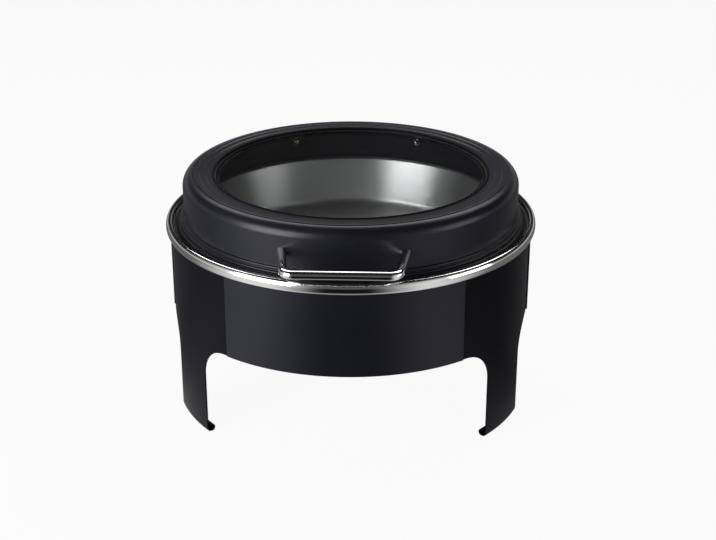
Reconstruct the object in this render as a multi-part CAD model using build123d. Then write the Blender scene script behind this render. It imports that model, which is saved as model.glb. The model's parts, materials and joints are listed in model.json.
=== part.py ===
from build123d import *
from math import degrees, sqrt
import os

# A round chafing dish: a black three-legged stand, a steel water pan with a polished ring,
# a food pan, and a black lid with a round window that swings on a hinge at the back.
# Millimetres. The floor is Z = 0, the axis of the dish is X = Y = 0 and the handle is at -Y.

# Stand
stand_height = 193.5          # top edge of the panels above the floor
stand_setback = 4.4           # outside of the skirt panels in from the outside of the ring
skirt_depth = 88.8            # lower edge of the skirt below the top edge
skirt_sheet = 1.2
leg_sheet = 1.5
leg_count = 3
leg_panel_angle = 44.0        # part of the circle that one leg panel shows
lap_width = 9.0               # how far a leg panel reaches behind each skirt panel
lap_gap = 0.1
leg_width = 69.0              # across the straight part of a leg
arch_radius = 35.0            # rounded corner between a leg and the skirt
hem_radius = 4.5              # outside of the curl along the foot
hem_turn = 285.0              # degrees of curl
hem_flat = 0.3                # how much of the curl is pressed flat to stand on
hoop_sheet = 2.0
hoop_drop = 2.6               # top of the hoop below the top edge of the stand
hoop_width = 8.0

# Ring and water pan
ring_radius = 200.0           # outside of the polished ring
ring_half_width = 4.0         # half the width of the ring's oval section
ring_half_height = 6.2
ring_gap = 0.3                # between the ring and the top edge of the stand
pan_sheet = 0.8
seat_gap = 0.1                # between pieces that rest on each other
weld_gap = 0.05               # between pieces that are welded together
gutter_width = 15.5           # clear width of the gutter that catches the drips
lip_rise = 15.6               # top of the inner lip above the underside of the gutter
lip_width = 4.6               # across the folded lip
water_pan_depth = 73.0        # underside of the water pan below the underside of the gutter
water_pan_corner = 14.0
fold_radius = 1.5             # folds of the thin steel sheet, at the middle of the sheet

# Food pan
food_sheet = 0.9
food_depth = 53.3             # rim above the floor of the food pan, between mid surfaces
food_wall_gap = 1.8           # between the food pan's wall and the lip at the rim
food_taper = 11.9             # how much narrower the food pan is at its floor
food_corner = 10.0
food_rim_width = 6.1          # width of the flat rim
food_rim_fold = 1.6

# Lid
lid_sheet = 1.0
lid_height = 56.2             # from the lip of the flange to the top surface
lid_lift = 7.6                # lip of the flange above the floor of the gutter
lid_edge_gap = 2.2            # between the lip of the flange and the gutter's outer wall
lid_shoulder = 9.5            # shoulder radius at the middle of the sheet
flange_steps = 3
flange_step_out = 2.2
flange_step_drop = 3.9
flange_lip_out = 2.0          # the sloping lip below the last step
flange_lip_drop = 3.7
flange_bend = 0.9
window_border = 33.35         # from the window's opening to the outside of the lid's wall
window_hem = 1.3              # depth of the turned-down edge round the opening
hem_bend = 1.2
top_step_rise = 0.8           # each of the two shallow steps round the window
top_step_slope = 1.1
top_step_bend = 1.0
inner_land = 7.0              # flat land round the window
middle_land = 6.0             # second flat land
outer_land = 4.4              # third flat land, up to the groove
groove_width = 2.6
groove_depth = 1.2
groove_bend = 0.8
collar_sheet = 0.8
collar_top = 14.6             # top of the drip collar above the lip of the flange
collar_depth = 11.5

# Window
glass_hold = 4.5              # how far the glass reaches past the edge of the opening
glass_thickness = 4.0
glass_edge = 0.5              # chamfer of the ground edge
gasket_show = 2.0             # how far the gasket's lips show inside the opening
gasket_wall = 1.4             # thickness of the gasket's two lips
gasket_back = 2.2             # thickness of the gasket outside the glass
rubber_gap = 0.1
clamp_sheet = 0.8
clamp_fold = 0.6
clamp_setback = 0.6           # inner edge of the clamp ring outside the edge of the opening
clamp_flange = 8.0            # width of the clamp ring's outer flange
clamp_nut_count = 6
stud_radius = 1.5
stud_length = 5.0
clamp_nut_height = 2.4
clamp_nut_flats = 5.5

# Handle
handle_rod = 4.5              # radius of the rod
handle_rise = 28.2            # middle of the rod above the lip of the flange
handle_reach = 26.5           # middle of the bar in front of the ring
handle_bar_half = 54.5        # half the width of the bar between the arms' middle lines
handle_root_half = 61.0       # half the distance between the arms where they meet the lid
handle_bend = 11.0
tenon_radius = 2.5
tenon_gap = 0.1
saddle_washer_radius = 6.0
saddle_washer_length = 4.5
cap_nut_flats = 8.0
cap_nut_hex = 4.0             # height of the hexagon under the dome
cap_nut_dome = 3.6            # radius of the dome
hole_cut = 24.0               # length of a cut for a hole, more than any stack it goes through

# Hinge
axis_offset = 18.0            # hinge axis behind the outside of the ring
axis_rise = 6.0               # hinge axis above the top of the ring
pin_radius = 3.0
pin_running_gap = 0.05
bush_wall = 1.2
bush_flange_radius = 6.5
bush_flange = 0.8
side_gap = 0.15               # between faces that slide past each other at the hinge
cheek_thickness = 3.0
cheek_spacing = 69.0          # between the inner faces of the cheeks
cheek_knuckle = 8.5
cheek_foot = 5.0              # how far the foot of a cheek reaches out from the saddle
saddle_side = 7.5             # how far the saddle reaches past each cheek
saddle_wall = 3.4             # wall of the saddle outside the ring
saddle_jaw = 1.5              # wall of the saddle above the ring
saddle_skirt = 0.9            # how far the saddle hangs below the top edge of the stand
saddle_stand_gap = 0.6        # between the saddle and the skirt panels
saddle_corner = 3.0
arm_thickness = 3.0
arm_knuckle = 9.0
arm_setback = 1.0             # root of an arm inside the upper and lower edges of the leaf
leaf_sheet = 2.0
leaf_gap = 0.1
leaf_height = 24.0
leaf_rise = 18.6              # lower edge of the leaf above the lip of the flange
leaf_corner = 7.0
leaf_end = 11.0               # from a leaf screw to the end of the leaf
leaf_screw_half = 73.5        # half the distance between the leaf's screws
leaf_screw_radius = 2.5
screw_head_radius = 4.8
screw_head_height = 2.8
screw_head_round = 2.0
damper_radius = 8.5
damper_round = 1.2
damper_foot = 48.0            # length of the damper's foot along the hinge
damper_bore_gap = 0.2
pin_nut_flats = 10.0
pin_grip = 3.2                # how far the pin reaches into each of its nuts

# Buffers
buffer_radius = 2.3
buffer_angle = 30.0           # from the front and from the back

# Levels and radii that follow from the sizes above
stand_radius = ring_radius - stand_setback
skirt_bottom = stand_height - skirt_depth
lap_angle = degrees(lap_width / stand_radius)
leg_outer = stand_radius - skirt_sheet - lap_gap
leg_inner = leg_outer - leg_sheet
hoop_outer = leg_inner - weld_gap
hoop_top = stand_height - hoop_drop
gutter_under = hoop_top + seat_gap
gutter_floor = gutter_under + pan_sheet
ring_level = stand_height + ring_gap + ring_half_height
ring_middle = ring_radius - ring_half_width
ring_top = ring_level + ring_half_height
gutter_outer = ring_middle - ring_half_width - weld_gap
gutter_outer_wall = gutter_outer - pan_sheet
lip_outer = gutter_outer_wall - gutter_width
lip_inner = lip_outer - lip_width
lip_top = gutter_under + lip_rise
water_pan_under = gutter_under - water_pan_depth
food_rim_level = lip_top + seat_gap + food_sheet / 2
food_wall_top = lip_inner - food_wall_gap - food_sheet / 2
food_floor_level = food_rim_level - food_depth
flange_outer = gutter_outer_wall - lid_edge_gap
flange_lip_level = gutter_floor + lid_lift
lid_wall = flange_outer - flange_lip_out - flange_steps * flange_step_out
lid_wall_inner = lid_wall - lid_sheet
lid_top = flange_lip_level + lid_height
flange_bottom_level = flange_lip_level + flange_lip_drop
flange_root_level = flange_bottom_level + (flange_steps - 1) * flange_step_drop
land_underside = lid_top - lid_sheet - 2 * top_step_rise
window_radius = lid_wall - window_border
glass_radius = window_radius + glass_hold
glass_top = land_underside - seat_gap - gasket_wall - rubber_gap
gasket_outer = glass_radius + rubber_gap + gasket_back
gasket_bottom = glass_top - glass_thickness - rubber_gap - gasket_wall
clamp_wall_outer = gasket_outer + rubber_gap + clamp_sheet
handle_level = flange_lip_level + handle_rise
handle_front = ring_radius + handle_reach
hinge_y = ring_radius + axis_offset
hinge_z = ring_top + axis_rise
saddle_outer = ring_radius + weld_gap + saddle_wall
saddle_bottom = stand_height - saddle_skirt
saddle_top = ring_top + weld_gap + saddle_jaw
cheek_middle = (cheek_spacing + cheek_thickness) / 2
saddle_half_width = cheek_spacing / 2 + cheek_thickness + saddle_side
arm_inner = cheek_spacing / 2 + cheek_thickness + bush_flange + side_gap
arm_outer = arm_inner + arm_thickness
leaf_inner = lid_wall + leaf_gap
leaf_screw_level = flange_lip_level + leaf_rise + leaf_height / 2


def sheet_section(points, radii, thickness):
    """The section of a folded sheet: an even thickness along a path of (radius, height) points."""
    path = FilletPolyline(*points, radius=radii)
    return Plane.XZ * trace(path, line_width=thickness)


def turned(section, angle=360.0, centre=0.0):
    """Turn a section about the dish's axis; centre is the azimuth of its middle from the front."""
    body = revolve(section, Axis.Z, revolution_arc=angle)
    return body.rotate(Axis.Z, centre - 90.0 - angle / 2)


def radial_plane(azimuth, radius, level):
    """A plane that faces outward from the dish's axis, with its X level and its Y upward."""
    place = Location((0, 0, level), (0, 0, azimuth))
    return Plane(place * Location((0, -radius, 0), (90, 0, 0)))


def disc_section(inner, outer, bottom, top):
    """A plain rectangular section between two radii and two levels."""
    width = outer - inner
    height = top - bottom
    return Plane.XZ * Pos((inner + outer) / 2, (bottom + top) / 2) * Rectangle(width, height)


def hexagon(flats):
    """A hexagon sketch from its width across the flats."""
    return RegularPolygon(radius=flats / 2, side_count=6, major_radius=False)


def tapered_web(knuckle_radius, root_radius, root_bottom, root_top, thickness):
    """A plate square to X: a knuckle round the hinge axis, drawn in to a straight root."""
    knuckle = Pos(hinge_y, hinge_z) * Circle(knuckle_radius)
    root_face = Polyline((root_radius, root_bottom), (root_radius, root_top))
    profile = make_hull(knuckle.edges() + root_face.edges())
    return extrude(Plane.YZ * profile, thickness / 2, both=True)


def along_hinge(offset, shape):
    """Put a shape on the hinge axis, with its Z axis pointing away from the middle."""
    sign = 1 if offset > 0 else -1
    return Pos(offset, hinge_y, hinge_z) * Rot(0, 90 * sign, 0) * shape


def cap_nut():
    """A domed nut that stands on the XY plane, with a blind bore from below."""
    nut = extrude(hexagon(cap_nut_flats), cap_nut_hex)
    nut += Pos(0, 0, cap_nut_hex) * Sphere(cap_nut_dome)
    bore_depth = cap_nut_hex + cap_nut_dome / 3
    nut -= Pos(0, 0, bore_depth / 2) * Cylinder(tenon_radius + tenon_gap, bore_depth)
    return nut


def save(shape, name):
    """Write one piece to its own file."""
    export_step(shape, f"parts/{name}.step")


# Stand


def skirt_panel(centre):
    """One curved skirt panel between two legs."""
    section = disc_section(stand_radius - skirt_sheet, stand_radius, skirt_bottom, stand_height)
    return turned(section, 360.0 / leg_count - leg_panel_angle, centre)


def leg_outline(centre):
    """A prism along the radius with the T shape of a leg panel: wide at the skirt, arched, narrow below."""
    half_leg = leg_width / 2
    half_panel = stand_radius
    left = -half_panel
    outline = Polyline(
        (left, skirt_bottom),
        (-half_leg, skirt_bottom),
        (-half_leg, -hem_radius),
        (half_leg, -hem_radius),
        (half_leg, skirt_bottom),
        (half_panel, skirt_bottom),
        (half_panel, stand_height),
        (left, stand_height),
        close=True,
    )
    face = make_face(outline)
    corners = [v for v in face.vertices() if abs(v.X) < half_leg + lap_gap and v.Y > 0]
    face = fillet(corners, arch_radius)
    plane = radial_plane(centre, 0.0, 0.0)
    return extrude(plane * face, stand_radius + hem_radius)


def leg_panel(centre):
    """A leg panel of sheet, curled inward along its foot and pressed flat where it stands."""
    middle = leg_outer - leg_sheet / 2
    curl_radius = hem_radius - leg_sheet / 2
    curl_level = hem_radius - hem_flat
    plate = Line((middle, stand_height), (middle, curl_level))
    curl = CenterArc((middle - curl_radius, curl_level), curl_radius, 0.0, -hem_turn)
    section = Plane.XZ * trace([plate, curl], line_width=leg_sheet)
    panel = turned(section, leg_panel_angle + 2 * lap_angle, centre)
    panel &= leg_outline(centre)
    floor = Pos(0, 0, -hem_radius) * Cylinder(stand_radius, 2 * hem_radius)
    return panel - floor


def support_hoop():
    """The flat hoop that ties the panels together and carries the water pan."""
    section = disc_section(hoop_outer - hoop_width, hoop_outer, hoop_top - hoop_sheet, hoop_top)
    return turned(section)


# Water unit


def rim_ring():
    """The polished ring of oval section."""
    return turned(Plane.XZ * Pos(ring_middle, ring_level) * Ellipse(ring_half_width, ring_half_height))


def water_pan():
    """The deep pan with its folded lip and the gutter that surrounds it."""
    half = pan_sheet / 2
    points = [
        (0.0, water_pan_under + half),
        (lip_inner + half, water_pan_under + half),
        (lip_inner + half, lip_top - half),
        (lip_outer - half, lip_top - half),
        (lip_outer - half, gutter_under + half),
        (gutter_outer - half, gutter_under + half),
        (gutter_outer - half, ring_level),
    ]
    radii = [water_pan_corner] + [fold_radius] * 4
    return turned(sheet_section(points, radii, pan_sheet))


def hinge_saddle():
    """The bracket that grips the ring, with two cheeks that carry the hinge pin."""
    block = disc_section(ring_middle, saddle_outer, saddle_bottom, saddle_top)
    seat = Ellipse(ring_half_width + weld_gap, ring_half_height + weld_gap)
    block -= Plane.XZ * Pos(ring_middle, ring_level) * seat
    stand_edge = stand_height + ring_gap / 2
    block -= disc_section(0.0, stand_radius + saddle_stand_gap, 0.0, stand_edge)
    saddle = turned(block, 180.0, 180.0)
    height = saddle_top - saddle_bottom
    outline = RectangleRounded(2 * saddle_half_width, height, saddle_corner)
    saddle &= extrude(radial_plane(180.0, 0.0, saddle_bottom + height / 2) * outline, saddle_outer)
    root = saddle_outer - saddle_wall / 2
    cheek = tapered_web(cheek_knuckle, ring_middle, saddle_bottom, saddle_top, cheek_thickness)
    cheek += Pos(0, root, saddle_bottom + height / 2) * Box(cheek_thickness, 2 * cheek_foot, height)
    inside = Pos(0, 0, stand_height) * Cylinder(root, stand_height)
    for sign in (-1, 1):
        saddle += Pos(sign * cheek_middle, 0, 0) * cheek - inside
        saddle -= along_hinge(sign * cheek_middle, Cylinder(pin_radius + bush_wall, 2 * cheek_thickness))
    return saddle


def hinge_bushes():
    """Two flanged bushes in the cheeks, with their flanges on the outer faces."""
    standing = (Align.CENTER, Align.CENTER, Align.MIN)
    bush = Cylinder(pin_radius + bush_wall, cheek_thickness, align=standing)
    bush += Pos(0, 0, cheek_thickness) * Cylinder(bush_flange_radius, bush_flange, align=standing)
    bush -= Cylinder(pin_radius + pin_running_gap, hole_cut)
    return Compound(children=[along_hinge(sign * cheek_spacing / 2, bush) for sign in (-1, 1)])


def damper_housing():
    """The barrel of the damper between the cheeks, on a foot that stands on the saddle."""
    length = cheek_spacing - 2 * side_gap
    barrel = Cylinder(damper_radius, length)
    barrel = fillet(barrel.edges().filter_by(GeomType.CIRCLE), damper_round)
    housing = Pos(0, hinge_y, hinge_z) * Rot(0, 90, 0) * barrel
    housing += tapered_web(damper_radius, ring_middle, saddle_bottom, saddle_top, damper_foot)
    bore = Cylinder(pin_radius + damper_bore_gap, 2 * length)
    housing -= Pos(0, hinge_y, hinge_z) * Rot(0, 90, 0) * bore
    inside = Pos(0, 0, stand_height) * Cylinder(saddle_outer + weld_gap, stand_height)
    return housing - inside


# Food pan


def food_pan():
    """The food pan: tapered wall, rounded floor corner and a flat rim that rests on the lip."""
    points = [
        (0.0, food_floor_level),
        (food_wall_top - food_taper, food_floor_level),
        (food_wall_top, food_rim_level),
        (food_wall_top + food_rim_width, food_rim_level),
    ]
    return turned(sheet_section(points, [food_corner, food_rim_fold], food_sheet))


# Lid


def lid_path():
    """Points and fold radii of the lid's sheet, from the window's edge to the lip of the flange."""
    half = lid_sheet / 2
    level = lid_top - half - 2 * top_step_rise
    radius = window_radius + half
    points = [(radius, level - window_hem), (radius, level)]
    radii = [hem_bend]
    radius += inner_land
    for land in (middle_land, outer_land):
        points.append((radius, level))
        radius += top_step_slope
        level += top_step_rise
        points.append((radius, level))
        radii += [top_step_bend, top_step_bend]
        radius += land
    points.append((radius, level))
    points.append((radius + groove_width / 2, level - groove_depth))
    points.append((radius + groove_width, level))
    radii += [groove_bend] * 3
    radius = lid_wall - half
    points.append((radius, level))
    radii.append(lid_shoulder)
    level = flange_root_level
    for step in range(flange_steps):
        points.append((radius, level))
        radius += flange_step_out
        points.append((radius, level))
        radii += [flange_bend, flange_bend]
        level -= flange_step_drop
    points.append((radius + flange_lip_out, flange_lip_level))
    return points, radii


def handle_direction(sign):
    """Unit vector along one arm of the handle, from the lid toward the bar."""
    corner = Vector(sign * handle_bar_half, -handle_front, handle_level)
    return (corner - handle_root(sign)).normalized()


def handle_root(sign):
    """Where the middle line of one arm meets the outside of the lid's wall."""
    root_y = -sqrt(lid_wall**2 - handle_root_half**2)
    return Vector(sign * handle_root_half, root_y, handle_level)


def handle_hole_plane(sign):
    """A plane at the root of one arm whose normal points into the lid."""
    inward = handle_direction(sign) * -1
    return Plane(origin=handle_root(sign), x_dir=(0, 0, 1), z_dir=inward)


def leaf_screw_plane(sign, radius):
    """A plane at one leaf screw that faces outward from the dish's axis."""
    outward = Vector(sign * leaf_screw_half, sqrt(lid_wall**2 - leaf_screw_half**2), 0).normalized()
    origin = outward * radius + Vector(0, 0, leaf_screw_level)
    return Plane(origin=origin, x_dir=(0, 0, 1), z_dir=outward)


def clamp_nut_places(level):
    """Places of the clamp ring's studs round the window."""
    radius = clamp_wall_outer + clamp_flange / 2
    return [
        Rot(0, 0, 360.0 * index / clamp_nut_count) * Pos(0, -radius, level)
        for index in range(clamp_nut_count)
    ]


def lid_shell():
    """The lid's sheet, with the holes for the handle and the leaf and the studs of the window clamp."""
    points, radii = lid_path()
    shell = turned(sheet_section(points, radii, lid_sheet))
    hole = Cylinder(tenon_radius + tenon_gap, hole_cut)
    for sign in (-1, 1):
        shell -= handle_hole_plane(sign).location * hole
        shell -= leaf_screw_plane(sign, lid_wall).location * hole
    stud = Cylinder(stud_radius, stud_length, align=(Align.CENTER, Align.CENTER, Align.MAX))
    for place in clamp_nut_places(lid_top - lid_sheet / 2 - top_step_rise):
        shell += place * stud
    return shell


def drip_collar():
    """The plain collar inside the lower edge of the lid that sheds drips into the gutter."""
    top = flange_lip_level + collar_top
    outer = lid_wall_inner - seat_gap
    section = disc_section(outer - collar_sheet, outer, top - collar_depth, top)
    return turned(section)


def window_glass():
    """The flat round window with a ground edge."""
    disc = Cylinder(glass_radius, glass_thickness, align=(Align.CENTER, Align.CENTER, Align.MAX))
    disc = chamfer(disc.edges().filter_by(GeomType.CIRCLE), glass_edge)
    return Pos(0, 0, glass_top) * disc


def window_gasket():
    """The rubber gasket of U section round the edge of the glass."""
    section = disc_section(window_radius - gasket_show, gasket_outer, gasket_bottom,
                           land_underside - seat_gap)
    section -= disc_section(0.0, glass_radius + rubber_gap, gasket_bottom + gasket_wall,
                            glass_top + rubber_gap)
    hem_clear = window_radius + 2 * lid_sheet
    hem_level = land_underside - window_hem + lid_sheet / 2 - rubber_gap
    section -= disc_section(0.0, hem_clear, hem_level, land_underside)
    return turned(section)


def window_clamp_ring():
    """The folded ring that holds the gasket up against the lid."""
    level = gasket_bottom - seat_gap - clamp_sheet / 2
    flange_level = land_underside - seat_gap - clamp_sheet / 2
    wall = clamp_wall_outer - clamp_sheet / 2
    points = [
        (window_radius + clamp_setback, level),
        (wall, level),
        (wall, flange_level),
        (wall + clamp_flange, flange_level),
    ]
    ring = turned(sheet_section(points, [clamp_fold, clamp_fold], clamp_sheet))
    hole = Cylinder(stud_radius + tenon_gap, hole_cut)
    for place in clamp_nut_places(land_underside):
        ring -= place * hole
    return ring


def clamp_nuts():
    """The small nuts on the studs of the window clamp."""
    level = land_underside - seat_gap - clamp_sheet - weld_gap
    nut = extrude(hexagon(clamp_nut_flats), -clamp_nut_height)
    nut -= Cylinder(stud_radius + weld_gap, hole_cut)
    return Compound(children=[place * nut for place in clamp_nut_places(level)])


def handle_bar():
    """The bent rod of the handle, with a thinner tenon at each end that passes through the lid."""
    left = handle_root(-1)
    right = handle_root(1)
    start = left + handle_direction(-1) * -handle_rod
    finish = right + handle_direction(1) * -handle_rod
    corner_left = Vector(-handle_bar_half, -handle_front, handle_level)
    corner_right = Vector(handle_bar_half, -handle_front, handle_level)
    path = FilletPolyline(start, corner_left, corner_right, finish, radius=handle_bend)
    profile = Plane(origin=start, z_dir=handle_direction(-1)) * Circle(handle_rod)
    rod = sweep(profile, path=path)
    rod -= Pos(0, 0, handle_level) * Cylinder(lid_wall + seat_gap, 4 * handle_rod)
    length = handle_rod / 2 + lid_sheet + saddle_washer_length + cap_nut_hex
    for sign in (-1, 1):
        tenon = Cylinder(tenon_radius, length, align=(Align.CENTER, Align.CENTER, Align.MIN))
        rod += handle_hole_plane(sign).location * (Pos(0, 0, -handle_rod / 2) * tenon)
    return rod


def saddle_washer_face(sign):
    """The flat inner face of one saddle washer, as a plane that points into the lid."""
    plane = handle_hole_plane(sign)
    return plane.offset(lid_sheet + saddle_washer_length)


def saddle_washers():
    """Washers that fit the curve of the lid's wall on one side and are flat on the other."""
    inside = Pos(0, 0, handle_level) * Cylinder(lid_wall_inner - seat_gap, 4 * saddle_washer_radius)
    blank = Cylinder(saddle_washer_radius, hole_cut, align=(Align.CENTER, Align.CENTER, Align.MAX))
    hole = Cylinder(tenon_radius + tenon_gap, hole_cut)
    washers = []
    for sign in (-1, 1):
        washer = saddle_washer_face(sign).location * blank
        washer &= inside
        washers.append(washer - handle_hole_plane(sign).location * hole)
    return Compound(children=washers)


def handle_nuts():
    """The two cap nuts on the handle's tenons."""
    nuts = [saddle_washer_face(sign).offset(weld_gap).location * cap_nut() for sign in (-1, 1)]
    return Compound(children=nuts)


def hinge_leaf():
    """The curved leaf screwed to the back of the lid, with two arms down to the hinge pin."""
    bottom = leaf_screw_level - leaf_height / 2
    top = leaf_screw_level + leaf_height / 2
    leaf = turned(disc_section(leaf_inner, leaf_inner + leaf_sheet, bottom, top), 180.0, 180.0)
    outline = RectangleRounded(2 * (leaf_screw_half + leaf_end), leaf_height, leaf_corner)
    leaf &= extrude(radial_plane(180.0, 0.0, leaf_screw_level) * outline, hinge_y)
    root = sqrt(leaf_inner**2 - arm_outer**2)
    arm = tapered_web(arm_knuckle, root, bottom + arm_setback, top - arm_setback, arm_thickness)
    inside = Pos(0, 0, leaf_screw_level) * Cylinder(leaf_inner + leaf_sheet / 2, stand_height)
    for sign in (-1, 1):
        leaf += Pos(sign * (arm_inner + arm_thickness / 2), 0, 0) * arm - inside
        leaf -= along_hinge(sign * arm_outer, Cylinder(pin_radius + weld_gap, 4 * arm_thickness))
        leaf -= leaf_screw_plane(sign, lid_wall).location * Cylinder(
            leaf_screw_radius + tenon_gap, hole_cut
        )
    return leaf


def leaf_screws():
    """Two round-head screws that pass inward through the leaf and the lid."""
    seat = leaf_inner + leaf_sheet + seat_gap
    shank_length = seat - lid_wall_inner + cap_nut_hex
    screw = Cylinder(screw_head_radius, screw_head_height, align=(Align.CENTER, Align.CENTER, Align.MIN))
    screw = fillet(screw.faces().sort_by(Axis.Z)[-1].edges(), screw_head_round)
    screw += Cylinder(leaf_screw_radius, shank_length, align=(Align.CENTER, Align.CENTER, Align.MAX))
    return Compound(children=[leaf_screw_plane(sign, seat).location * screw for sign in (-1, 1)])


def leaf_nuts():
    """The two cap nuts inside the lid on the leaf's screws."""
    nuts = []
    for sign in (-1, 1):
        face = leaf_screw_plane(sign, lid_wall_inner - seat_gap)
        nuts.append(face.location * Rot(180, 0, 0) * cap_nut())
    return Compound(children=nuts)


def hinge_pin():
    """The straight pin through both arms, both bushes and the damper."""
    return Pos(0, hinge_y, hinge_z) * Rot(0, 90, 0) * Cylinder(pin_radius, 2 * (arm_outer + pin_grip))


def pin_nuts():
    """The two domed nuts at the ends of the pin."""
    nut = extrude(hexagon(pin_nut_flats), cap_nut_hex)
    nut += Pos(0, 0, cap_nut_hex) * Sphere(cap_nut_dome)
    nut -= Cylinder(pin_radius + weld_gap, 2 * (pin_grip + side_gap))
    return Compound(children=[along_hinge(sign * (arm_outer + weld_gap), nut) for sign in (-1, 1)])


def buffer_posts():
    """Four soft posts under the flange that stand on the floor of the gutter."""
    radius = flange_outer - flange_lip_out - flange_step_out / 2 - buffer_radius
    top = flange_bottom_level - lid_sheet / 2 - weld_gap
    bottom = gutter_floor + seat_gap
    post = Cylinder(buffer_radius, top - bottom, align=(Align.CENTER, Align.CENTER, Align.MIN))
    posts = []
    for azimuth in (-buffer_angle, buffer_angle, 180.0 - buffer_angle, 180.0 + buffer_angle):
        posts.append(Rot(0, 0, azimuth) * Pos(0, -radius, bottom) * post)
    return Compound(children=posts)


os.makedirs("parts", exist_ok=True)

leg_step = 360.0 / leg_count
for index, name in enumerate(("leg_right", "leg_rear", "leg_left")):
    save(leg_panel(leg_step * (index + 0.5)), name)
for index, name in enumerate(("skirt_front", "skirt_right", "skirt_left")):
    save(skirt_panel(leg_step * index), name)
save(support_hoop(), "support_hoop")
save(water_pan(), "water_pan")
save(rim_ring(), "rim_ring")
save(hinge_saddle(), "hinge_saddle")
save(hinge_bushes(), "hinge_bushes")
save(damper_housing(), "damper_housing")
save(food_pan(), "food_pan")
save(lid_shell(), "lid_shell")
save(drip_collar(), "drip_collar")
save(window_glass(), "window_glass")
save(window_gasket(), "window_gasket")
save(window_clamp_ring(), "window_clamp_ring")
save(clamp_nuts(), "clamp_nuts")
save(handle_bar(), "handle_bar")
save(saddle_washers(), "saddle_washers")
save(handle_nuts(), "handle_nuts")
save(hinge_leaf(), "hinge_leaf")
save(leaf_screws(), "leaf_screws")
save(leaf_nuts(), "leaf_nuts")
save(hinge_pin(), "hinge_pin")
save(pin_nuts(), "pin_nuts")
save(buffer_posts(), "buffer_posts")
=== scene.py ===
import json
from math import cos, pi, radians, sin, tan

import bmesh
import bpy
from mathutils import Matrix, Vector

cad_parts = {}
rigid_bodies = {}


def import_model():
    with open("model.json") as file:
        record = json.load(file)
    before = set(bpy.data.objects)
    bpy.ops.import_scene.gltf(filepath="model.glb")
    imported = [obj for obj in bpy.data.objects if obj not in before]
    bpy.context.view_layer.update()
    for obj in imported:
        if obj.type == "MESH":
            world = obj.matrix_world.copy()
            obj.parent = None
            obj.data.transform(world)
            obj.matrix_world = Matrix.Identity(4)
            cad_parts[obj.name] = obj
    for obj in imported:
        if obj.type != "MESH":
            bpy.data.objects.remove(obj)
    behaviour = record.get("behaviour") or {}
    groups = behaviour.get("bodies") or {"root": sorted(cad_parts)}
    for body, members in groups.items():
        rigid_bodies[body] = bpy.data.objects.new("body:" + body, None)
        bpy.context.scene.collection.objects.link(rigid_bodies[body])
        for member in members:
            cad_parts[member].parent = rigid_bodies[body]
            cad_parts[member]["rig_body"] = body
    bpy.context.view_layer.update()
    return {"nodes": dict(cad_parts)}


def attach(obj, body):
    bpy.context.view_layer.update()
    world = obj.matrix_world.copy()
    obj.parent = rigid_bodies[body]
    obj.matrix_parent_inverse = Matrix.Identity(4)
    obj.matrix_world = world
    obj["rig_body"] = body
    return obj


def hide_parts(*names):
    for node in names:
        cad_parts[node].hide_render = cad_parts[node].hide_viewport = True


# A round chafing dish: black three-legged stand, steel pans, polished ring and a black lid
# with a window. Metres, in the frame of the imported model: the handle is at -Y.

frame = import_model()
nodes = frame["nodes"]
scene = bpy.context.scene

# The angle from the middle of a skirt panel to the leg panel beside it, in degrees, and the number
# of leg panels, for the painted shadow line where they lap
skirt_half_angle = 38.0
leg_count = 3


class Value:
    """A number that varies over a surface. Arithmetic on it adds Math nodes to its material."""

    def __init__(self, finish, socket):
        self.finish = finish
        self.socket = socket

    def math(self, operation, *others):
        """This Math operation on the value and the others, in their order."""
        return self.finish.node("ShaderNodeMath", {"operation": operation},
                                {index: value for index, value in enumerate((self, *others))})

    def __add__(self, other):
        return self.math("ADD", other)

    __radd__ = __add__

    def __sub__(self, other):
        return self.math("SUBTRACT", other)

    def __rsub__(self, other):
        return self.finish.node("ShaderNodeMath", {"operation": "SUBTRACT"}, {0: other, 1: self})

    def __mul__(self, other):
        return self.math("MULTIPLY", other)

    __rmul__ = __mul__

    def __pow__(self, other):
        return self.math("POWER", other)


class Nodes:
    """A node tree, with short ways to add to it."""

    def __init__(self, tree):
        self.tree = tree

    def feed(self, socket, value):
        """Link a varying value to a socket, or set a plain one on it."""
        if isinstance(value, Value):
            self.tree.links.new(value.socket, socket)
        else:
            socket.default_value = value

    def node(self, kind, settings=None, sockets=None, output=0):
        """Add a node: its settings first, then the values or links of its sockets."""
        made = self.tree.nodes.new(kind)
        for name, value in (settings or {}).items():
            setattr(made, name, value)
        for name, value in (sockets or {}).items():
            self.feed(made.inputs[name], value)
        return Value(self, made.outputs[output])

    def axes(self, vector):
        """The three numbers of a vector."""
        split = self.node("ShaderNodeSeparateXYZ", {}, {0: vector}).socket.node
        return [Value(self, socket) for socket in split.outputs]

    def ease(self, value, start, end):
        """A smooth step from 0 at start to 1 at end."""
        return self.node("ShaderNodeMapRange", {"interpolation_type": "SMOOTHSTEP"},
                         {"Value": value, "From Min": start, "From Max": end})


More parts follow.
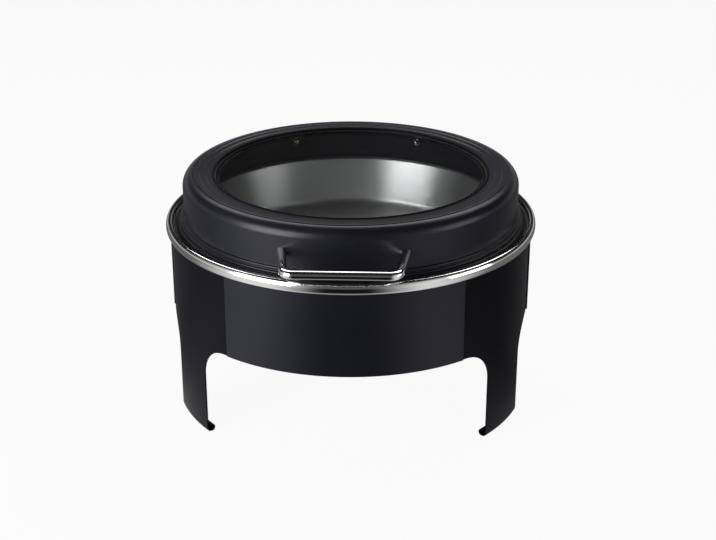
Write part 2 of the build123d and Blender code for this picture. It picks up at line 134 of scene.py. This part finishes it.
class Finish(Nodes):
    """A material for one of the dish's finishes, built on one Principled shader."""

    def __init__(self, name, color, **plain):
        self.material = bpy.data.materials.new(name)
        self.material.use_nodes = True
        super().__init__(self.material.node_tree)
        self.shader = self.tree.nodes["Principled BSDF"]
        self.output = self.tree.nodes["Material Output"]
        self.set("Base Color", (*color, 1.0))
        for socket, value in plain.items():
            self.set(socket.replace("_", " "), value)

    def set(self, socket, value):
        """Give one of the shader's sockets a number, a colour or a varying value."""
        self.feed(self.shader.inputs[socket], value)

    def place(self):
        """The point on the piece, in metres."""
        return self.node("ShaderNodeTexCoord", output="Object")

    def noise(self, scale, detail=3.0, roughness=0.5, where=None):
        """Soft noise between 0 and 1; scale is spots per metre."""
        where = where or self.place()
        return self.node("ShaderNodeTexNoise", {}, {"Vector": where, "Scale": scale, "Detail": detail,
                                                    "Roughness": roughness}, "Fac")

    def round_grain(self):
        """A coordinate whose lines run round the dish's axis: fast along the radius and the height."""
        finely = 100.0
        slowly = 0.6
        across, along, up = self.axes(self.place())
        radius = (across * across + along * along) ** 0.5
        turn = along.math("ARCTAN2", across)
        return self.node("ShaderNodeCombineXYZ", {}, {"X": radius * finely, "Y": turn * slowly,
                                                      "Z": up * finely})

    def painted_lap_shadow(self):
        """1 on the painted shadow line, dark and dull, where a leg panel comes out from behind the
        skirt, else 0.
        """
        starts = (skirt_half_angle, skirt_half_angle + 0.05)
        ends = (skirt_half_angle + 0.25, skirt_half_angle + 0.6)
        half_step = pi / leg_count
        across, along, up = self.axes(self.place())
        turn = across.math("ARCTAN2", along * -1.0).math("WRAP", half_step, -half_step)
        turn = turn.math("ABSOLUTE")
        line = self.ease(turn, radians(starts[0]), radians(starts[1]))
        return line - self.ease(turn, radians(ends[0]), radians(ends[1]))

    def blend(self, factor, first, second):
        """A colour between two colours."""
        made = self.tree.nodes.new("ShaderNodeMix")
        made.data_type = "RGBA"
        self.feed(made.inputs["Factor"], factor)
        for name, value in (("A", first), ("B", second)):
            socket = next(s for s in made.inputs if s.name == name and s.type == "RGBA")
            self.feed(socket, value if isinstance(value, Value) else (*value, 1.0))
        return Value(self, next(s for s in made.outputs if s.type == "RGBA"))

    def mix_shaders(self, factor, first, second):
        """Show a mix of two shaders."""
        mixed = self.node("ShaderNodeMixShader", {}, {"Fac": factor})
        self.tree.links.new(first, mixed.socket.node.inputs[1])
        self.tree.links.new(second, mixed.socket.node.inputs[2])
        self.tree.links.new(mixed.socket, self.output.inputs["Surface"])

    def bump(self, height, depth):
        """Raise the surface by a varying height; depth is in metres."""
        self.set("Normal", self.node("ShaderNodeBump", {}, {"Height": height, "Distance": depth,
                                                            "Strength": 1.0}))


def satin_black_coat(name="satin_black_coat", gloss=0.29, tone=0.75, lapped=False):
    """Baked satin black with a faint blue cast, a fine orange peel and slightly uneven gloss.

    tone darkens its colour, and the legs' darker copy is painted shade; a lapped coat has painted shadow
    lines, dark and dull, beside the skirt panels.
    """
    coat = Finish(name, (0.008, 0.008, 0.014), Specular_IOR_Level=gloss)
    coat.set("Specular Tint", (0.90, 0.88, 1.0, 1.0))
    cloud = coat.noise(14.0, 2.0)
    paint = coat.blend(cloud, (0.006 * tone, 0.006 * tone, 0.011 * tone),
                       (0.010 * tone, 0.010 * tone, 0.017 * tone))
    peel = coat.noise(1600.0, 2.0, 0.6)
    rough = 0.28 + 0.05 * cloud + 0.03 * peel
    if lapped:
        dull = 0.95
        # Painted shadow: a near-black, dull line on each leg panel beside the skirt's edge, where the
        # skirt shades it
        line = coat.painted_lap_shadow()
        paint = coat.blend(line, paint, (0.0015, 0.0015, 0.002))
        rough = rough + (dull - rough) * line
    coat.set("Base Color", paint)
    coat.set("Roughness", rough)
    coat.bump(peel, 0.000012)
    return coat.material


def polished_steel():
    """Bright polished stainless steel with faint polishing haze."""
    steel = Finish("polished_steel", (0.78, 0.77, 0.755), Metallic=1.0)
    haze = steel.noise(60.0, 3.0)
    steel.set("Base Color", steel.blend(haze, (0.74, 0.73, 0.715), (0.82, 0.81, 0.80)))
    steel.set("Roughness", 0.07 + 0.06 * haze)
    steel.bump(steel.noise(500.0, 2.0), 0.000004)
    return steel.material


def spun_steel():
    """Satin stainless steel with fine lines that run round the pan."""
    steel = Finish("spun_steel", (0.55, 0.54, 0.53), Metallic=1.0, Anisotropic=0.75,
                   Anisotropic_Rotation=0.25)
    lines = steel.noise(40.0, 3.0, 0.6, steel.round_grain())
    cloud = steel.noise(9.0, 2.0)
    steel.set("Base Color", steel.blend(lines, (0.49, 0.48, 0.475), (0.60, 0.59, 0.585)))
    steel.set("Roughness", 0.30 + 0.06 * lines + 0.04 * cloud)
    steel.bump(lines, 0.000003)
    return steel.material


def window_pane_glass():
    """Clear toughened glass that lets the lamps reach what is under it."""
    glass = Finish("window_pane_glass", (0.93, 0.95, 0.955), Roughness=0.0, IOR=1.45,
                   Transmission_Weight=1.0, Specular_IOR_Level=0.25)
    clear = glass.node("ShaderNodeBsdfTransparent", {}, {"Color": (0.86, 0.88, 0.875, 1.0)})
    ray = glass.node("ShaderNodeLightPath", output="Is Shadow Ray")
    glass.mix_shaders(ray, glass.shader.outputs[0], clear.socket)
    return glass.material


def black_silicone():
    """Soft matt black silicone."""
    rubber = Finish("black_silicone", (0.012, 0.012, 0.013), Specular_IOR_Level=0.3)
    grain = rubber.noise(900.0, 2.0)
    rubber.set("Roughness", 0.55 + 0.15 * grain)
    rubber.bump(grain, 0.00001)
    return rubber.material


def painted_shade_black():
    """A dull near-black, darker than the coat: painted shade for the band under the window's edge and
    for the lip round the window.
    """
    shade_paint = Finish("painted_shade_black", (0.003, 0.003, 0.004), Specular_IOR_Level=0.06)
    grain = shade_paint.noise(1200.0, 2.0)
    shade_paint.set("Roughness", 0.6 + 0.15 * grain)
    shade_paint.bump(grain, 0.000004)
    return shade_paint.material


def black_nylon():
    """Smooth moulded black nylon."""
    nylon = Finish("black_nylon", (0.02, 0.02, 0.022))
    grain = nylon.noise(700.0, 2.0)
    nylon.set("Roughness", 0.35 + 0.12 * grain)
    nylon.bump(grain, 0.000006)
    return nylon.material


coat = satin_black_coat()
# The legs' coat is a darker, less glossy copy of the same paint: painted shade for the leg panels, which
# turn away from the light, with painted shadow lines where they lap behind the skirt
leg_coat_painted_shade = satin_black_coat("satin_black_leg_coat", 0.06, 0.45, lapped=True)
bright = polished_steel()
spun = spun_steel()
pane = window_pane_glass()
silicone = black_silicone()
nylon = black_nylon()
shade_black = painted_shade_black()


def piece_from(bm, name, material, slot, body, *stands_for):
    """Finish a modelled piece: smooth faces, its material, its body and the node it stands for."""
    mesh = bpy.data.meshes.new(name)
    bm.to_mesh(mesh)
    bm.free()
    mesh.materials.append(material)
    mesh.polygons.foreach_set("use_smooth", [True] * len(mesh.polygons))
    piece = bpy.data.objects.new(name, mesh)
    scene.collection.objects.link(piece)
    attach(piece, body)
    if stands_for:
        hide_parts(*stands_for)
    return piece


def fold_length(before, here, after, radius):
    """How far from a corner of a path its rounding of that radius starts."""
    turn = (here - before).angle(after - here)
    return radius * tan(turn / 2)


# A fold of a sheet with a radius over wide_fold millimetres has more segments
wide_fold = 5.0
wide_fold_segments = 16
fold_segments = 8


def sheet_line(points, folds):
    """A bmesh line along the middle of a folded sheet.

    points are (radius, height) in millimetres, and folds are the radii at the points between the
    first and the last.
    """
    bm = bmesh.new()
    spots = [Vector((radius, 0.0, height)) / 1000.0 for radius, height in points]
    verts = [bm.verts.new(spot) for spot in spots]
    for first, second in zip(verts, verts[1:]):
        bm.edges.new((first, second))
    corners = list(zip(verts[1:-1], spots, spots[1:], spots[2:], folds))
    for vert, before, here, after, fold in corners:
        start = fold_length(before, here, after, fold / 1000.0)
        segments = wide_fold_segments if fold > wide_fold else fold_segments
        bmesh.ops.bevel(bm, geom=[vert], offset=start, offset_type="OFFSET", segments=segments,
                        profile=0.5, affect="VERTICES", material=-1)
    return bm


def turn_round(bm, steps=256):
    """Spin what is in the mesh once round the dish's axis and close it."""
    bmesh.ops.spin(bm, geom=bm.verts[:] + bm.edges[:], cent=(0, 0, 0), axis=(0, 0, 1), angle=2 * pi,
                   steps=steps, use_merge=True)
    bmesh.ops.remove_doubles(bm, verts=bm.verts[:], dist=0.000001)
    bmesh.ops.recalc_face_normals(bm, faces=bm.faces[:])
    return bm


def thicken(piece, thickness):
    """Give a sheet its thickness in millimetres, half to each side, with its edges closed."""
    wall = piece.modifiers.new("sheet", "SOLIDIFY")
    wall.thickness = thickness / 1000.0
    wall.offset = 0.0
    wall.use_even_offset = True
    return piece


def oval_ring(radius, height, half_width, half_height, segments):
    """A bmesh ring of oval section round the dish's axis, in millimetres."""
    bm = bmesh.new()
    oval = Matrix.Diagonal((half_width / 1000.0, half_height / 1000.0, 1.0, 1.0))
    middle = Matrix.Translation((radius / 1000.0, 0.0, height / 1000.0))
    place = middle @ Matrix.Rotation(pi / 2, 4, "X") @ oval
    bmesh.ops.create_circle(bm, segments=segments, radius=1.0, matrix=place)
    return turn_round(bm, 320)


def dress(node, material, slot, edge=0.25):
    """A clean copy of a CAD node: joined, with its flat faces whole and its edges eased."""
    joined_within = 0.000002
    flat_within = radians(0.3)
    sharp_from = radians(35.0)
    bm = bmesh.new()
    bm.from_mesh(nodes[node].data)
    bmesh.ops.remove_doubles(bm, verts=bm.verts[:], dist=joined_within)
    bmesh.ops.dissolve_limit(bm, angle_limit=flat_within, use_dissolve_boundaries=False,
                             verts=bm.verts[:], edges=bm.edges[:])
    piece = piece_from(bm, "shown_" + node, material, slot, nodes[node]["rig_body"], node)
    if edge:
        ease = piece.modifiers.new("eased_edges", "BEVEL")
        ease.width = edge / 1000.0
        ease.segments = 2
        ease.limit_method = "ANGLE"
        ease.angle_limit = sharp_from
        ease.harden_normals = False
    weigh = piece.modifiers.new("even_shading", "WEIGHTED_NORMAL")
    weigh.keep_sharp = True
    return piece


# The turned pieces follow, with their sizes in millimetres. A sheet's points run along the middle
# of its thickness, as in the solids, but the lid's shoulder is rounder here.


def lid_skin():
    """The lid's sheet: hem, three stepped lands, groove, sloping land, wide shoulder, wall and beads."""
    top = 255.1
    points = [(147.5, 252.2), (147.5, top - 1.6), (154.5, top - 1.6), (155.6, top - 0.8),
              (161.6, top - 0.8), (162.7, top), (167.1, top), (168.4, top - 1.2), (169.7, top - 0.2),
              (179.85, top - 2.2), (179.85, 210.9), (182.05, 210.9), (182.05, 207.0), (184.25, 207.0),
              (184.25, 203.1), (186.45, 203.1), (188.45, 199.4)]
    folds = [1.2, 1.0, 1.0, 1.0, 1.0, 0.8, 0.8, 0.6, 12.0, 0.9, 0.9, 0.9, 0.9, 0.9, 0.9]
    bm = turn_round(sheet_line(points, folds))
    skin = piece_from(bm, "lid_skin", coat, "black_coat", "lid", "lid_shell")
    return thicken(skin, 1.0)


def window_shade_band():
    """A black band under the window's edge: painted shade for the dark line where the lid's land meets
    the glass.
    """
    glass_underside = 247.3
    band = turn_round(sheet_line([(140.5, glass_underside), (145.2, glass_underside)], []))
    dark_band = piece_from(band, "window_shade_band", shade_black, "black_coat", "lid")
    return thicken(dark_band, 0.1)


def window_trim():
    """The lip round the window's opening, in dull near-black as painted shade along the window's edge.
    """
    lip = oval_ring(147.4, 253.8, 1.4, 1.3, 24)
    return piece_from(lip, "window_trim", shade_black, "black_coat", "lid")


def lid_studs():
    """The studs under the lid that hold the window's clamp ring, in metres."""
    count = 6
    middle = Matrix.Translation((0.0, -0.1587, 0.2514))
    radius = 0.0015
    length = 0.0050
    rim_edge = 0.0003
    bm = bmesh.new()
    for index in range(count):
        turn = Matrix.Rotation(2 * pi * index / count, 4, "Z")
        bmesh.ops.create_cone(bm, cap_ends=True, segments=24, radius1=radius, radius2=radius,
                              depth=length, matrix=turn @ middle)
    rims = [edge for edge in bm.edges if edge.is_manifold and edge.calc_face_angle() > 1.0]
    bmesh.ops.bevel(bm, geom=rims, offset=rim_edge, segments=2, profile=0.5, affect="EDGES",
                    material=-1)
    return piece_from(bm, "lid_studs", coat, "black_coat", "lid")


def polished_ring():
    """The ring of upright oval section."""
    ring = oval_ring(196.0, 200.0, 4.0, 6.2, 40)
    return piece_from(ring, "polished_ring", bright, "polished_steel", "water_unit", "rim_ring")


def inner_pan():
    """The food pan with its flat rim."""
    points = [(0.0, 153.85), (156.45, 153.85), (168.35, 207.15), (174.45, 207.15)]
    bm = turn_round(sheet_line(points, [10.0, 1.6]))
    pan = piece_from(bm, "inner_pan", spun, "satin_steel", "food_pan", "food_pan")
    return thicken(pan, 0.9)


def outer_pan():
    """The water pan with its folded lip and its gutter."""
    points = [(0.0, 118.4), (171.45, 118.4), (171.45, 206.2), (175.25, 206.2), (175.25, 191.4),
              (191.55, 191.4), (191.55, 200.0)]
    bm = turn_round(sheet_line(points, [14.0, 1.5, 1.5, 1.5, 1.5]))
    pan = piece_from(bm, "outer_pan", spun, "satin_steel", "water_unit", "water_pan")
    return thicken(pan, 0.8)


lid_skin()
lid_studs()
polished_ring()
inner_pan()
outer_pan()
window_shade_band()
window_trim()
for name in ("skirt_front", "skirt_left", "skirt_right", "support_hoop", "drip_collar",
             "window_clamp_ring"):
    dress(name, coat, "black_coat")
for name in ("leg_left", "leg_right", "leg_rear"):
    dress(name, leg_coat_painted_shade, "black_coat")
for name in ("handle_bar", "handle_nuts", "leaf_nuts", "saddle_washers", "leaf_screws", "pin_nuts",
             "hinge_pin", "hinge_saddle", "hinge_leaf", "damper_housing", "clamp_nuts"):
    dress(name, bright, "polished_steel", 0.2)
dress("window_glass", pane, "clear_glass", 0.0)
dress("window_gasket", silicone, "black_rubber", 0.2)
dress("buffer_posts", silicone, "black_rubber", 0.3)
dress("hinge_bushes", nylon, "black_plastic", 0.1)


# What metal and gloss mirror of the stage: bright on the left and right of the camera, dark
# towards the camera, and dimmer behind. In each row: front, left, right, behind.
mirrored_floor = (0.01, 0.95, 0.85, 0.16)
mirrored_sky = (0.10, 0.9, 0.85, 0.5)
mirrored_near = 0.32          # the floor close to the dish, towards the camera
mirrored_above = 0.02         # overhead
front_ends = (12.0, 54.0)     # degrees from the camera where the bright sides begin
side_ends = (58.0, 122.0)     # and where they fade, on the left
right_sooner = (8.0, 16.0)    # how much sooner they fade on the right
wall_bend = 1.2               # from a place on the floor to the way a wall mirrors it
near_floor = (0.27, 0.33)     # metres from the axis where the near floor ends
behind_fades = (4.0, 15.0)    # degrees up, so that the window's glass doesn't mirror it
sides_fade = (12.0, 60.0)
pale = (0.965, 0.965, 0.965, 1.0)
floor_glow = 0.97             # what of the seen floor doesn't take shadows
plain_light = 0.12            # the world's light on the dish


def mirrored_round(nodes, across, along, front, left, right, behind, bend=1.0):
    """How bright the stage is in the mirror, by the way it lies from the dish.

    bend turns a place on the floor into the way that a wall of the dish mirrors it.
    """
    turn = bend * across.math("ABSOLUTE").math("ARCTAN2", along * -1.0)
    side = across.math("GREATER_THAN", 0.0)
    peak = left + (right - left) * side
    rise = nodes.ease(turn, radians(front_ends[0]), radians(front_ends[1]))
    fade, faded = (radians(end) - radians(sooner) * side for end, sooner in zip(side_ends, right_sooner))
    fall = nodes.ease(turn, fade, faded)
    return front + (peak - front) * rise + (behind - peak) * fall


def looks(nodes):
    """Two masks: 1 where the stage is seen, in the open or through the glass, and 1 where it is
    mirrored in metal or gloss.
    """
    outputs = nodes.node("ShaderNodeLightPath").socket.node.outputs
    names = ("Is Camera Ray", "Is Transmission Ray", "Is Glossy Ray", "Glossy Depth", "Diffuse Depth")
    camera, through, glossy, mirrors, scatters = (Value(nodes, outputs[name]) for name in names)
    # The depths are whole numbers, so 0.5 tells none from some
    straight = through * scatters.math("LESS_THAN", 0.5)
    mirror_seen = mirrors.math("GREATER_THAN", 0.5)
    seen = camera.math("MAXIMUM", straight * (1.0 - mirror_seen))
    return seen, glossy.math("MAXIMUM", straight * mirror_seen) * (1.0 - seen)


def pale_floor():
    """A pale floor that keeps the dish's soft shadow."""
    bm = bmesh.new()
    bmesh.ops.create_grid(bm, x_segments=1, y_segments=1, size=6.0)
    mesh = bpy.data.meshes.new("floor")
    bm.to_mesh(mesh)
    bm.free()
    floor = bpy.data.objects.new("floor", mesh)
    scene.collection.objects.link(floor)
    sheet = Finish("pale_floor", (0.86, 0.86, 0.86), Roughness=0.9, Specular_IOR_Level=0.0)
    across, along, up = sheet.axes(sheet.place())
    far = sheet.ease((across * across + along * along) ** 0.5, *near_floor)
    front, left, right, behind = mirrored_floor
    front = mirrored_near + (front - mirrored_near) * far
    mirrored = mirrored_round(sheet, across, along, front, left, right, behind, wall_bend)
    seen, glossy = looks(sheet)
    glow = sheet.node("ShaderNodeEmission", {}, {"Color": pale,
                                                 "Strength": 1.0 + (mirrored - 1.0) * glossy})
    share = (seen * floor_glow).math("MAXIMUM", glossy)
    sheet.mix_shaders(share, sheet.shader.outputs[0], glow.socket)
    mesh.materials.append(sheet.material)


def pale_world():
    """White where it is seen, and a plain grey light on the dish."""
    world = bpy.data.worlds.new("pale_world")
    world.use_nodes = True
    scene.world = world
    sky = Nodes(world.node_tree)
    across, along, up = sky.axes(sky.node("ShaderNodeTexCoord", output="Generated"))
    front, left, right, behind = mirrored_sky
    behind = behind * (1.0 - sky.ease(up, *(sin(radians(end)) for end in behind_fades)))
    low = 1.0 - sky.ease(up, *(sin(radians(end)) for end in sides_fade))
    mirrored = mirrored_above + mirrored_round(sky, across, along, front, left, right, behind) * low
    background = world.node_tree.nodes["Background"]
    sky.feed(background.inputs["Color"], pale)
    seen, glossy = looks(sky)
    sky.feed(background.inputs["Strength"], plain_light + (1.0 - plain_light) * seen
             + (mirrored - plain_light) * glossy)


def softbox(name, place, width, height, watts):
    """A soft rectangular lamp that faces the dish and isn't seen by the camera."""
    dish_middle = Vector((0.0, 0.0, 0.2))
    light = bpy.data.lights.new(name, "AREA")
    light.shape = "RECTANGLE"
    light.size = width
    light.size_y = height
    light.energy = watts
    lamp = bpy.data.objects.new(name, light)
    lamp.location = place
    lamp.rotation_euler = (dish_middle - Vector(place)).to_track_quat("-Z", "Y").to_euler()
    lamp.visible_camera = False
    scene.collection.objects.link(lamp)


def photo_camera():
    """The camera that took the picture: a little right of the handle and looking down."""
    picture_width = 716.0
    focal_length = 1418.5     # in pixels of the picture, as the shifts are
    pitch = 23.166
    turn = radians(2.35)
    turned_back = radians(0.215)
    side, back, height = 0.0013, 1.4446, 0.7553
    lens = bpy.data.cameras.new("photo_camera")
    lens.sensor_width = 36.0
    lens.lens = focal_length / picture_width * lens.sensor_width
    lens.shift_x = 1.0 / picture_width
    lens.shift_y = -0.5 / picture_width
    lens.clip_start = 0.05
    lens.clip_end = 50.0
    camera = bpy.data.objects.new("photo_camera", lens)
    camera.location = (side * cos(turn) + back * sin(turn), side * sin(turn) - back * cos(turn), height)
    camera.rotation_euler = (radians(90.0 - pitch), 0.0, turn - turned_back)
    scene.collection.objects.link(camera)
    scene.camera = camera


photo_camera()
pale_floor()
pale_world()
softbox("left_box", (-0.95, -0.87, 0.5), width=0.85, height=0.9, watts=22.0)
softbox("right_box", (1.3, -0.40, 0.42), width=0.7, height=0.6, watts=4.2)
softbox("back_box", (0.0, 0.85, 1.42), width=2.0, height=0.8, watts=19.0)
scene.view_settings.view_transform = "Standard"
